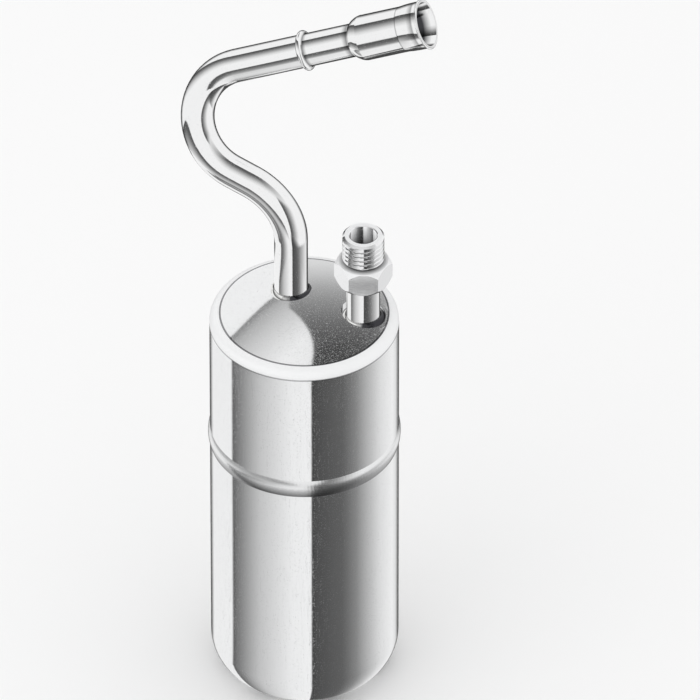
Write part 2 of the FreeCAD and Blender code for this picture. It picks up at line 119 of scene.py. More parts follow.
# Beyond the flags the screens show as they do from the pipe's bends: by the lean of
# the metal that mirrors them, to the right and to the top of the front view
BEND_CENTRE = Vector((-0.02, 0.03, 0.30))
UPPER_EDGE = [
    (-1.0, 0.50), (-0.44, 0.50), (0.075, 0.471), (0.20, 0.42), (0.365, 0.289), (0.45, 0.18),
    (0.55, 0.0), (1.0, -0.6),
]
UPPER_LEVELS = [
    (-0.012, PALE), (0.0, 0.06), (0.10, 0.14), (0.22, 0.40), (0.34, 0.74), (0.46, PALE),
]
UPPER_END = [(0.14, 1.0), (0.50, 0.0)]
LOWER_EDGE = [
    (-1.0, -0.20), (-0.757, -0.20), (-0.54, -0.285), (-0.45, -0.325), (-0.33, -0.325),
    (-0.25, -0.39), (-0.11, -0.472), (-0.05, -0.54), (0.0, -0.60), (1.0, -0.60),
]
LOWER_LEVELS = [
    (-0.006, PALE), (0.0, 0.08), (0.025, 0.14), (0.06, 0.33), (0.10, 0.60), (0.14, 0.85),
    (0.18, PALE),
]
LOWER_SPREAD = [(-0.12, 0.5), (0.06, 1.0)]
SIDE_EDGE = [
    (-1.0, 0.085), (-0.58, 0.10), (-0.45, 0.17), (-0.30, 0.21), (-0.20, 0.225), (0.04, 0.243),
    (1.0, 0.26),
]
SIDE_LEVELS = [(-0.008, PALE), (0.0, 0.08), (0.08, 0.16), (0.20, 0.50), (0.30, 0.85), (0.36, PALE)]
SIDE_END = [(-0.05, 1.0), (0.10, 0.0)]
# Where the leg's flags take over low down, and the dark round the pipe's silhouette
LEG_SCREENS = [(-0.60, 1.0), (-0.52, 0.0)]
RIM_LEVEL = 0.04
RIM_SHARE = [(0.78, 0.0), (0.92, 1.0)]


class Socket:
    """An output of a shader node, so that shader maths reads as plain expressions."""

    def __init__(self, finish, output):
        self.finish = finish
        self.output = output

    def _math(self, operation, *values):
        return self.finish.node("ShaderNodeMath", {"operation": operation}, *values)

    def __add__(self, other):
        return self._math("ADD", self, other)

    def __sub__(self, other):
        return self._math("SUBTRACT", self, other)

    def __rsub__(self, other):
        return self._math("SUBTRACT", other, self)

    def __mul__(self, other):
        return self._math("MULTIPLY", self, other)

    def __truediv__(self, other):
        return self._math("DIVIDE", self, other)

    def __pow__(self, other):
        return self._math("POWER", self, other)

    __radd__ = __add__
    __rmul__ = __mul__


class Finish:
    """The shader nodes of a material, or of the world."""

    def __init__(self, owner, shader="ShaderNodeBsdfPrincipled"):
        owner.use_nodes = True
        self.owner = owner
        self.tree = owner.node_tree
        self.tree.nodes.clear()
        self.shader = self.tree.nodes.new(shader)

    def node(self, kind, settings=None, *values, out=0, **named):
        """Adds a node, sets it up, feeds its sockets in order or by name, and gives an output."""
        made = self.tree.nodes.new(kind)
        for key, value in (settings or {}).items():
            if key == "stops":
                self._set_ramp(made.color_ramp, value)
            else:
                setattr(made, key, value)
        for place, value in list(enumerate(values)) + list(named.items()):
            self._feed(self._find(made.inputs, place), value)
        return Socket(self, self._find(made.outputs, out))

    def _find(self, sockets, place):
        shown = [socket for socket in sockets if socket.enabled]
        if isinstance(place, int):
            return shown[place]
        plain = place.replace("_", " ")
        return next(socket for socket in shown if socket.name.lower() == plain)

    def _feed(self, socket, value):
        if isinstance(value, Socket):
            self.tree.links.new(value.output, socket)
        else:
            socket.default_value = value

    def _set_ramp(self, ramp, stops):
        ramp.elements.remove(ramp.elements[-1])
        ramp.elements[0].position = stops[0][0]
        ramp.elements[0].color = self._grey(stops[0][1])
        for position, level in stops[1:]:
            ramp.elements.new(position).color = self._grey(level)

    def _grey(self, level):
        return (level, level, level, 1)

    def curve(self, value, *stops):
        """Level that follows a value through stops of (value, level)."""
        low = stops[0][0]
        span = stops[-1][0] - low
        placed = [((position - low) / span, level) for position, level in stops]
        return self.node("ShaderNodeValToRGB", {"stops": placed}, (value - low) / span)

    def edge(self, value, *stops):
        """Line that follows a value through stops of (value, place), with places from -1 to 1."""
        raised = [(position, (1 + place) / 2) for position, place in stops]
        return self.curve(value, *raised) * 2.0 - 1.0

    def darker(self, first, second):
        """The darker of two levels."""
        return self.node("ShaderNodeMath", {"operation": "MINIMUM"}, first, second)

    def blend(self, first, second, share):
        """Level between two levels."""
        return first + (second - first) * share

    def paint(self, first, second, share):
        """Colour between two colours."""
        ends = [end if isinstance(end, Socket) else (*end, 1) for end in (first, second)]
        return self.node("ShaderNodeMix", {"data_type": "RGBA"}, share, *ends)

    def parts(self, vector):
        """The three components of a vector."""
        split = self.node("ShaderNodeSeparateXYZ", None, vector).output.node
        return [Socket(self, output) for output in split.outputs]

    def set(self, **named):
        """Sets the shader's own sockets."""
        for name, value in named.items():
            self._feed(self._find(self.shader.inputs, name), value)

    def finish(self, kind="ShaderNodeOutputMaterial", surface=None):
        """Joins the shader to the output, and gives the material or the world."""
        output = self.tree.nodes.new(kind)
        shown = surface.output if surface else self.shader.outputs[0]
        self.tree.links.new(shown, output.inputs["Surface"])
        return self.owner


def lean_towards(finish, ray):
    """Normal of a surface that turns a direction of the room towards the front."""
    half = finish.node("ShaderNodeVectorMath", {"operation": "SUBTRACT"}, ray, look)
    return finish.node("ShaderNodeVectorMath", {"operation": "NORMALIZE"}, half)


def bend_screens(finish, lean):
    """Level of the screens that shape the bent pipe, by the lean of the metal that mirrors them."""
    across = finish.parts(lean)[0]
    rise = finish.node("ShaderNodeVectorMath", {"operation": "DOT_PRODUCT"}, lean, lift)
    upper = finish.curve(finish.edge(across, *UPPER_EDGE) - rise, *UPPER_LEVELS)
    upper = finish.blend(PALE, upper, finish.curve(across, *UPPER_END))
    below = finish.edge(across, *LOWER_EDGE) - rise
    lower = finish.curve(below * finish.curve(across, *LOWER_SPREAD), *LOWER_LEVELS)
    side = finish.curve(across - finish.edge(rise, *SIDE_EDGE), *SIDE_LEVELS)
    side = finish.blend(PALE, side, finish.curve(rise, *SIDE_END))
    screens = finish.darker(upper, finish.darker(lower, side))
    leg = finish.curve(across, *LEG_LEVELS)
    screens = finish.blend(screens, leg, finish.curve(rise, *LEG_SCREENS))
    rim = finish.curve(across * across + rise * rise, *RIM_SHARE)
    return finish.blend(screens, RIM_LEVEL, rim)


def within(finish, value, low, high):
    """1 where a value lies between two others, with soft edges."""
    return finish.curve(
        value, (low, 0.0), (low + SOFT_EDGE, 1.0), (high - SOFT_EDGE, 1.0), (high, 0.0))


def mirrored_floor(paper):
    """Level of the floor as upright metal mirrors it towards the front."""
    place = paper.node("ShaderNodeNewGeometry", out="position")
    right, back, _ = paper.parts(place)
    reach = paper.node("ShaderNodeVectorMath", {"operation": "LENGTH"}, place)
    bearing = paper.node("ShaderNodeMath", {"operation": "ARCTAN2"}, right, 0.0 - back)
    # A few steps find the turn of the wall at the spot that mirrors each place of the floor
    turn = bearing * 0.5
    for _ in range(FLAG_SOLVE_STEPS):
        shift = paper.node("ShaderNodeMath", {"operation": "SINE"}, turn) * BODY_RADIUS / reach
        turn = (bearing + paper.node("ShaderNodeMath", {"operation": "ARCSINE"}, shift)) * 0.5
    across = paper.node("ShaderNodeMath", {"operation": "SINE"}, turn)
    flags = paper.curve(across, *FLAG_LEVELS)

    # Places whose light would meet the wall above its top serve the inlet pipe instead
    swing = paper.node("ShaderNodeMath", {"operation": "COSINE"}, bearing - turn)
    throw = (reach * reach + BODY_RADIUS ** 2 - reach * swing * (2 * BODY_RADIUS)) ** 0.5
    leg_right = right - LEG_AXIS.x
    leg_back = back - LEG_AXIS.y
    leg_reach = (leg_right * leg_right + leg_back * leg_back) ** 0.5
    leg_bearing = paper.node("ShaderNodeMath", {"operation": "ARCTAN2"}, leg_right, 0.0 - leg_back)
    leg_across = paper.node("ShaderNodeMath", {"operation": "SINE"}, leg_bearing * 0.5)
    slide = paper.curve(leg_reach, *LEG_SLIDE) * paper.curve(leg_across, *LEG_SLIDE_SIDE)
    leg_flags = paper.curve(leg_across + slide, *LEG_LEVELS)
    past_wall = paper.curve(throw, (WALL_THROW, 0.0), (WALL_THROW + SOFT_EDGE, 1.0))
    flags = paper.blend(flags, leg_flags, past_wall)

    card = within(paper, right, CARD_LOW.x, CARD_HIGH.x)
    card = card * within(paper, back, CARD_LOW.y, CARD_HIGH.y)
    flags = paper.blend(flags, paper.curve(back, *CARD_LEVELS), card)

    ray = paper.node("ShaderNodeVectorMath", {"operation": "SUBTRACT"}, place, BEND_CENTRE)
    ray = paper.node("ShaderNodeVectorMath", {"operation": "NORMALIZE"}, ray)
    screens = bend_screens(paper, lean_towards(paper, ray))
    past_flags = paper.curve(reach, (FLAG_END, 0.0), (FLAG_END + FLAG_FADE, 1.0))
    return paper.blend(flags, screens, past_flags)


paper = Finish(bpy.data.materials.new("floor_paper"), "ShaderNodeBsdfDiffuse")
paper.set(color=(PAPER, PAPER, PAPER, 1))
flags = paper.node("ShaderNodeEmission", None, mirrored_floor(paper), 1.0)
seen_by_metal = paper.node("ShaderNodeLightPath", out="is_glossy_ray")
sheet = Socket(paper, paper.shader.outputs[0])
paper.finish(surface=paper.node("ShaderNodeMixShader", None, seen_by_metal, sheet, flags))

bpy.ops.mesh.primitive_plane_add(size=FLOOR_SIZE, location=(0, 0, -FLOOR_GAP))
floor = bpy.context.object
floor.name = "floor"
floor.data.materials.append(paper.owner)


# Studio room: a white tent for soft light. Metal also mirrors its screens, set
# out by the place on the dome that turns each of them towards the front.
DOME_RADIUS = 0.170
DOME_RIM_LEAN = 0.2365
DOME_RIM_FADE = 0.004
SCREEN_EDGE = Vector((0.0042, -0.031))
SCREEN_EDGE_CURVE = 14.5
SCREEN_EDGE_SOFTNESS = 0.0004
SCREEN_EDGE_LEFT = -0.0075
WEDGE_CORNER = Vector((-0.0195, 0.001))
WEDGE_ACROSS = Vector((0.789, -0.613))
DARK_SCREEN_LEVELS = [
    (-0.040, 0.05), (-0.030, 0.07), (-0.020, 0.115), (-0.010, 0.18), (0.004, 0.30), (0.014, 0.42),
    (0.026, 0.62), (0.036, 0.76),
]
WEDGE_LEVELS = [
    (-0.0004, PALE), (0.0, 0.16), (0.0015, 0.30), (0.005, 0.46), (0.012, 0.62), (0.022, 0.80),
    (0.030, 0.93),
]


def mirrored_room(world):
    """Level of the room in each direction, for metal."""
    lean = lean_towards(world, world.node("ShaderNodeTexCoord", out="generated"))
    lean_right, lean_back, _ = world.parts(lean)
    right = lean_right * DOME_RADIUS
    back = lean_back * DOME_RADIUS
    from_edge = back - SCREEN_EDGE.y
    edge = SCREEN_EDGE.x - from_edge * from_edge * SCREEN_EDGE_CURVE
    edge = world.node("ShaderNodeMath", {"operation": "MAXIMUM"}, edge, SCREEN_EDGE_LEFT)
    past_edge = world.curve(
        right - edge, (-SCREEN_EDGE_SOFTNESS, 0.0), (SCREEN_EDGE_SOFTNESS, 1.0))
    from_wedge = (right - WEDGE_CORNER.x) * WEDGE_ACROSS.x
    from_wedge = from_wedge + (back - WEDGE_CORNER.y) * WEDGE_ACROSS.y
    wedge = world.curve(from_wedge, *WEDGE_LEVELS)
    dark_screen = world.curve(back, *DARK_SCREEN_LEVELS)
    overhead = world.blend(wedge, dark_screen, past_edge)
    tilt = (lean_right * lean_right + lean_back * lean_back) ** 0.5
    around = world.curve(tilt, (DOME_RIM_LEAN, 0.0), (DOME_RIM_LEAN + DOME_RIM_FADE, 1.0))
    return world.blend(overhead, bend_screens(world, lean), around)


world = Finish(bpy.data.worlds.new("tent"), "ShaderNodeBackground")
scene.world = world.owner
seen_by_metal = world.node("ShaderNodeLightPath", out="is_glossy_ray")
world.set(color=world.blend(1.0, mirrored_room(world), seen_by_metal), strength=1.0)
world.finish("ShaderNodeOutputWorld")


# Lamp: one broad soft box, high on the left and in front. Metal doesn't mirror
# it, because the floor's flags and the room's screens already shape the metal.
KEY_POWER = 1.5
KEY_SIZE = 0.9
KEY_PLACE = Vector((-0.7, -0.6, 1.3))
KEY_AIM = Vector((0, 0, 0.15))
key_data = bpy.data.lights.new("key", "AREA")
key_data.energy = KEY_POWER
key_data.size = KEY_SIZE
key = bpy.data.objects.new("key", key_data)
key.location = KEY_PLACE
key.rotation_euler = (KEY_AIM - KEY_PLACE).to_track_quat("-Z", "Y").to_euler()
key.visible_glossy = False
scene.collection.objects.link(key)


# Shells: two deep-drawn aluminium cups. Their outside keeps the die's fine
# lengthwise drawing lines and a satin grain, and the shoulder is coined matt.
SHELL_COLOUR = (0.90, 0.905, 0.91)
SHELL_ROUGHNESS = 0.055
DRAW_LINES_PER_M = 1500.0
DRAW_LINE_STRETCH = 0.05
GRAIN_PER_M = 2400.0
GRAIN_HEIGHT = 0.000004
SPECK_ROUGHNESS = 0.42
SPECK_FADE = 0.06
WORN_LEVEL = 0.82
SHOULDER_RADIUS = 0.0402
SHOULDER_HEIGHT = 0.2080
CREASE_SHADE_WIDTH = 0.0003
INNER_CREASE_SHADE_SHARE = 0.9
OUTER_CREASE_SHADE_SHARE = 0.6
COINED_EDGE = 0.0002
COINED_RISE = 0.0005
COINED_COLOUR = (0.90, 0.905, 0.91)
COINED_METAL = 0.12
COINED_ROUGHNESS = 0.5
CREASE_SHADE_COLOUR = (0.20, 0.20, 0.21)
SEAT_CENTRE = (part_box("outlet_braze")[0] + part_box("outlet_braze")[1]) / 2
SEAT_RADIUS = 0.0106
PAINTED_SHADE_COLOUR = (0.05, 0.05, 0.055)
SHADED_SIDE = Vector((0.80, -0.60))
PORT_SHADE_LEVELS = [(0.05, 0.0), (0.60, 1.0)]
PORT_SHADE_EDGE = 0.0002
SHADE_AND_FLUX_NOISE_PER_M = 420.0


def port_shade(metal, place, centre, radius):
    """Share of painted shade beside a port, dark on its right-front side as if in shadow."""
    right, back, _ = metal.parts(place)
    right = right - centre.x
    back = back - centre.y
    out = (right * right + back * back) ** 0.5
    ragged_shade = metal.node(
        "ShaderNodeTexNoise", None, place, scale=SHADE_AND_FLUX_NOISE_PER_M, detail=4.0, distortion=0.8)
    facing = (right * SHADED_SIDE.x + back * SHADED_SIDE.y) / out + (ragged_shade - 0.5) * 0.5
    near = metal.curve(out, (radius - PORT_SHADE_EDGE, 1.0), (radius + 2 * PORT_SHADE_EDGE, 0.0))
    return metal.curve(facing, *PORT_SHADE_LEVELS) * near


def seat_shade(metal, place):
    """Painted shade on the coined seat round the outlet."""
    return port_shade(metal, place, SEAT_CENTRE, SEAT_RADIUS)


def bare_aluminium(
        name, colour, roughness, specks_share=0.57, stretch=1.0, painted_shade_at=None, shoulder=False):
    """Bare aluminium: bright with duller specks, and lines where the grain is stretched upwards."""
    metal = Finish(bpy.data.materials.new(name))
    place = metal.node("ShaderNodeTexCoord", out="object")
    specks = metal.node(
        "ShaderNodeTexNoise", None, place, scale=GRAIN_PER_M, detail=2.0, roughness=0.7)
    along = metal.node("ShaderNodeMapping", None, place, scale=(1, 1, stretch))
    lines = metal.node(
        "ShaderNodeTexNoise", None, along, scale=DRAW_LINES_PER_M, detail=3.0, roughness=0.6)
    grain = specks * 0.75 + lines * 0.25
    dull = metal.curve(grain, (specks_share, 0.0), (specks_share + SPECK_FADE, 1.0))
    rough = roughness + dull * SPECK_ROUGHNESS
    worn = tuple(WORN_LEVEL * part for part in colour)
    shade = metal.paint(colour, worn, dull)
    # Painted shade: dark on one side of a port, or down a bore and in lines on a formed end
    if painted_shade_at:
        shade = metal.paint(shade, PAINTED_SHADE_COLOUR, painted_shade_at(metal, place))
    metallic = 1.0
    if shoulder:
        right, back, up = metal.parts(place)
        out = (right * right + back * back) ** 0.5
        high = metal.curve(up, (SHOULDER_HEIGHT, 0.0), (SHOULDER_HEIGHT + COINED_RISE, 1.0))
        coined = metal.curve(out, (SHOULDER_RADIUS, 0.0), (SHOULDER_RADIUS + COINED_EDGE, 1.0))
        coined = coined * high
        # Thin lines of painted shade along the shoulder's inner and outer creases
        inner = high * within(
            metal, out, SHOULDER_RADIUS - 2 * CREASE_SHADE_WIDTH, SHOULDER_RADIUS + CREASE_SHADE_WIDTH)
        outer = within(
            metal, up, SHOULDER_HEIGHT - CREASE_SHADE_WIDTH, SHOULDER_HEIGHT + 2 * CREASE_SHADE_WIDTH)
        rough = metal.blend(rough, COINED_ROUGHNESS, coined)
        metallic = 1.0 - coined * (1 - COINED_METAL)
        shade = metal.paint(shade, COINED_COLOUR, coined)
        crease_shade = inner * INNER_CREASE_SHADE_SHARE + outer * OUTER_CREASE_SHADE_SHARE
        shade = metal.paint(shade, CREASE_SHADE_COLOUR, crease_shade)
    relief = metal.node(
        "ShaderNodeBump", None, strength=0.3, distance=GRAIN_HEIGHT, height=lines + specks)
    metal.set(base_color=shade, metallic=metallic, roughness=rough, normal=relief)
    return metal.finish()


def dress(node, material):
    """Gives a solid of the frame its real finish."""
    mesh = nodes[node].data
    mesh.materials.clear()
    mesh.materials.append(material)


# The seat round the outlet has shade painted on one side
shell_metal = bare_aluminium(
    "shell_satin", SHELL_COLOUR, SHELL_ROUGHNESS, stretch=DRAW_LINE_STRETCH, painted_shade_at=seat_shade,
    shoulder=True)
dress("upper_shell", shell_metal)
dress("lower_shell", shell_metal)


# Girth weld: one smooth bead of cast aluminium that joins the two shells. The
# torch leaves fine ripples across it, and shade is painted dark along its lower edge.
WELD_COLOUR = (0.88, 0.885, 0.89)
WELD_ROUGHNESS = 0.16
RIPPLE_PITCH = 0.0016
RIPPLE_HEIGHT = 0.000008
WAVER_PER_M = 260.0
LOWER_SHADE_COLOUR = (0.03, 0.03, 0.032)
LOWER_SHADE_RAGGEDNESS = 0.25
# Share of unshaded metal up the bead, from its lower edge; below it shade is painted
UNSHADED_LEVELS = [(0.10, 0.22), (0.42, 0.60), (0.58, 1.0)]
weld_low, weld_high = (corner.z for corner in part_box("girth_weld"))


def weld_bead():
    """Cast bead: ripples run across it, and shade is painted along its lower edge."""
    metal = Finish(bpy.data.materials.new("weld_bead"))
    place = metal.node("ShaderNodeTexCoord", out="object")
    right, back, up = metal.parts(place)
    around = metal.node("ShaderNodeMath", {"operation": "ARCTAN2"}, back, right) * BODY_RADIUS
    waver = metal.node("ShaderNodeTexNoise", None, place, scale=WAVER_PER_M, detail=2.0)
    phase = (around + waver * RIPPLE_PITCH) * (2 * math.pi / RIPPLE_PITCH)
    ripples = metal.node("ShaderNodeMath", {"operation": "SINE"}, phase)
    specks = metal.node("ShaderNodeTexNoise", None, place, scale=GRAIN_PER_M, detail=2.0)
    rise = (up - weld_low) / (weld_high - weld_low) + (specks - 0.5) * LOWER_SHADE_RAGGEDNESS
    # Painted shade, darkest at the bead's lower edge
    shade = metal.paint(LOWER_SHADE_COLOUR, WELD_COLOUR, metal.curve(rise, *UNSHADED_LEVELS))
    rough = WELD_ROUGHNESS + specks * 0.15
    relief = metal.node(
        "ShaderNodeBump", None, strength=0.5, distance=RIPPLE_HEIGHT, height=ripples)
    metal.set(base_color=shade, metallic=1.0, roughness=rough, normal=relief)
    return metal.finish()


dress("girth_weld", weld_bead())


# Pipes: bright drawn aluminium tube, bent on a mandrel. The inlet's socket,
# bead and flare are formed from the tube itself. Shade is painted dark down the
# socket's bore and in thin lines at the foot of each.
PIPE_COLOUR = (0.91, 0.912, 0.915)
PIPE_ROUGHNESS = 0.05
SOCKET_MIDDLE = Vector((0.037866, 0.029151, 0.359105))
SOCKET_AXIS = Vector((0.8955, -0.1912, 0.4019)).normalized()
FLARE_START = 0.0105
MOUTH = 0.0221
MOUTH_RADIUS = 0.0125
MOUTH_EDGE = 0.0002
# Radius between the socket's bore and its outside, along its axis
WALL_MIDDLE = [(-0.0110, 0.0), (-0.0105, 0.0101), (FLARE_START, 0.0101), (MOUTH, 0.0113)]
BORE_SHADE_LEVELS = [(0.0160, 1.0), (0.0200, 0.0)]
# Painted shade lines: after the bead, before the swage, where the flare starts and behind the lip
FORMED_LINE_SHADE_LEVELS = [
    (-0.0401, 0.0), (-0.0396, 0.75), (-0.0378, 0.0), (-0.0190, 0.0), (-0.0164, 0.75),
    (-0.0158, 0.0), (0.0101, 0.0), (0.0105, 0.65), (0.0109, 0.0), (0.0165, 0.0), (0.0190, 0.6),
    (0.0197, 0.0),
]


def formed_end_shade(metal, place):
    """Share of painted shade on the inlet's formed end: down its bore, and in lines at each foot.
    """
    offset = metal.node("ShaderNodeVectorMath", {"operation": "SUBTRACT"}, place, SOCKET_MIDDLE)
    along = metal.node("ShaderNodeVectorMath", {"operation": "DOT_PRODUCT"}, offset, SOCKET_AXIS)
    reach = metal.node("ShaderNodeVectorMath", {"operation": "LENGTH"}, offset)
    out = (reach * reach - along * along) ** 0.5
    wall = metal.curve(along, *WALL_MIDDLE)
    bore = metal.node("ShaderNodeMath", {"operation": "LESS_THAN"}, out, wall)
    near = metal.curve(out, (MOUTH_RADIUS, 1.0), (MOUTH_RADIUS + MOUTH_EDGE, 0.0))
    line_shade = metal.curve(along, *FORMED_LINE_SHADE_LEVELS) * near
    return metal.blend(line_shade, metal.curve(along, *BORE_SHADE_LEVELS), bore)


pipe_metal = bare_aluminium(
    "pipe_bright", PIPE_COLOUR, PIPE_ROUGHNESS, specks_share=0.60, painted_shade_at=formed_end_shade)
dress("inlet_pipe", pipe_metal)
dress("outlet_tube", pipe_metal)


# Braze rings: filler metal that ran round each joint and set there. It is
# duller than the tube, with traces of flux, and shade painted dark on one side of its foot.
BRAZE_COLOUR = (0.86, 0.86, 0.85)
FLUX_COLOUR = (0.60, 0.59, 0.57)
FLUX_LEVELS = [(0.52, 0.0), (0.72, 1.0)]
FLOW_HEIGHT = 0.00006


def braze_filler(ring):
    """Filler metal of one ring, with flux where it ran last and shade painted on one side."""
    low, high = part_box(ring)
    metal = Finish(bpy.data.materials.new(ring + "_filler"))
    place = metal.node("ShaderNodeTexCoord", out="object")
    flow = metal.node(
        "ShaderNodeTexNoise", None, place, scale=SHADE_AND_FLUX_NOISE_PER_M, detail=4.0, distortion=0.8)
    flux = metal.curve(flow, *FLUX_LEVELS)
    braze_shade = port_shade(metal, place, (low + high) / 2, high.x - low.x)
    shade = metal.paint(metal.paint(BRAZE_COLOUR, FLUX_COLOUR, flux), PAINTED_SHADE_COLOUR, braze_shade)
    rough = 0.10 + flux * 0.3
    relief = metal.node("ShaderNodeBump", None, strength=0.4, distance=FLOW_HEIGHT, height=flow)
    metal.set(base_color=shade, metallic=1.0 - flux * 0.4, roughness=rough, normal=relief)
    return metal.finish()


for ring in ("inlet_braze", "outlet_braze", "fitting_braze"):
    dress(ring, braze_filler(ring))


# Outlet fitting: turned and milled from hexagonal aluminium bar, with a rolled
# thread on its nipple. It stands in one piece on the stub, brazed from below.
HEX_FLAT = 0.012
HEX_HEIGHT = 0.0127
HEX_CHAMFER = 0.0028
HEX_FACE_INSET = 0.0002
NIPPLE_RADIUS = 0.00995
NIPPLE_CHAMFER = 0.0010
RELIEF_RADIUS = 0.0086
RELIEF_LENGTH = 0.0016
THREAD_PITCH = 0.0025
THREAD_DEPTH = 0.0006
THREAD_CREST = 0.45
THREAD_FADE = 0.0012
PORT_RADIUS = 0.0065
PORT_DEPTH = 0.012
THROAT_RADIUS = 0.0056
TUBE_SOCKET_RADIUS = 0.00805
TUBE_SOCKET_DEPTH = 0.008
PORT_EDGE = 0.0004
PORT_MARGIN = 0.0001
PORT_LIT_DEPTH = 0.001
COLUMNS = 240
THREAD_ROWS_PER_PITCH = 18
SHARP_ANGLE = math.radians(28)
FITTING_COLOUR = (0.89, 0.893, 0.90)
FITTING_ROUGHNESS = 0.06
RECESS_SHADE_COLOUR = (0.02, 0.02, 0.022)
TOOL_LINES_PER_M = 4200.0
TOOL_LINE_HEIGHT = 0.00001
TURNED_WORN_LEVEL = 0.90
TURNED_SPECKS = [(0.56, 0.0), (0.62, 1.0)]
# Lean of the metal, upwards, at which it counts as a faced end or as the hexagon's chamfer
FACED_LEAN = [(0.90, 0.0), (0.97, 1.0)]
CHAMFER_LEAN = [(0.50, 0.0), (0.56, 1.0)]
# Shadow round the nipple's foot, outwards and by height over the hexagon's top
FOOT_REACH = 0.0034
FOOT_LEVELS = [(-0.0003, 0.0), (-0.0002, 1.0), (0.0003, 1.0), (0.0012, 0.0)]
CHAMFER_END = [(0.0001, 1.0), (0.0003, 0.0)]

fitting_low, fitting_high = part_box("outlet_fitting")
fitting_axis = (fitting_low + fitting_high) / 2
fitting_axis.z = fitting_low.z
nipple_top = fitting_high.z - fitting_low.z


def hexagon_reach(angle):
    """Distance from the axis to the hexagon's side."""
    from_flat = (angle + math.pi / 6 - math.pi / 2) % (math.pi / 3) - math.pi / 6
    return HEX_FLAT / math.cos(from_flat)


def thread_reach(height, angle):
    """Radius of the right-handed thread, which fades out at both of its ends."""
    turn = (height / THREAD_PITCH - angle / (2 * math.pi)) % 1.0
    groove = max(math.cos(2 * math.pi * turn) - THREAD_CREST, 0.0) / (1 - THREAD_CREST)
    start = HEX_HEIGHT + RELIEF_LENGTH
    end = nipple_top - NIPPLE_CHAMFER
    ends = min((height - start) / THREAD_FADE, (end - height) / THREAD_FADE, 1.0)
    return NIPPLE_RADIUS - THREAD_DEPTH * groove * max(ends, 0.0)


def fitting_column(angle):
    """Outline of the fitting at one angle, round from the bottom's socket to the port and back."""
    side = hexagon_reach(angle)
    corner = HEX_FLAT / math.cos(math.pi / 6)
    face = HEX_FLAT - HEX_FACE_INSET
    cone = HEX_CHAMFER * (side - face) / (corner - face)
    column = [
        (TUBE_SOCKET_RADIUS, 0.0), (face, 0.0), (side, cone), (side, HEX_HEIGHT - cone),
        (face, HEX_HEIGHT), (RELIEF_RADIUS, HEX_HEIGHT),
        (RELIEF_RADIUS, HEX_HEIGHT + RELIEF_LENGTH * 0.5)]
    thread_start = HEX_HEIGHT + RELIEF_LENGTH
    thread_length = nipple_top - NIPPLE_CHAMFER - thread_start
    rows = round(thread_length / THREAD_PITCH * THREAD_ROWS_PER_PITCH)
    for row in range(rows + 1):
        height = thread_start + thread_length * row / rows
        column.append((thread_reach(height, angle), height))
    column += [
        (NIPPLE_RADIUS - NIPPLE_CHAMFER, nipple_top), (PORT_RADIUS + PORT_EDGE, nipple_top),
        (PORT_RADIUS, nipple_top - PORT_EDGE), (PORT_RADIUS, nipple_top - PORT_DEPTH),
        (THROAT_RADIUS, nipple_top - PORT_DEPTH), (THROAT_RADIUS, TUBE_SOCKET_DEPTH),
        (TUBE_SOCKET_RADIUS, TUBE_SOCKET_DEPTH)]
    return column


def skin(shape, here, there):
    """Faces between two closed outlines with as many corners each."""
    for row in range(len(here)):
        after = (row + 1) % len(here)
        shape.faces.new((here[row], there[row], there[after], here[after]))


def mesh_piece(name, shape):
    """Makes a piece of the scene from a finished shape."""
    bmesh.ops.recalc_face_normals(shape, faces=shape.faces)
    mesh = bpy.data.meshes.new(name)
    shape.to_mesh(mesh)
    shape.free()
    mesh.shade_smooth()
    piece = bpy.data.objects.new(name, mesh)
    scene.collection.objects.link(piece)
    return piece


def lathe_piece(name, centre, column_at, columns):
    """Closed ring-shaped piece from one closed outline of (radius, height) for each angle."""
    shape = bmesh.new()
    rings = []
    for step in range(columns):
        angle = 2 * math.pi * step / columns
        way = Vector((math.cos(angle), math.sin(angle), 0))
        outline = [centre + way * radius + Vector((0, 0, up)) for radius, up in column_at(angle)]
        rings.append([shape.verts.new(corner) for corner in outline])
    for here, there in zip(rings, rings[1:] + rings[:1]):
        skin(shape, here, there)
    return mesh_piece(name, shape)


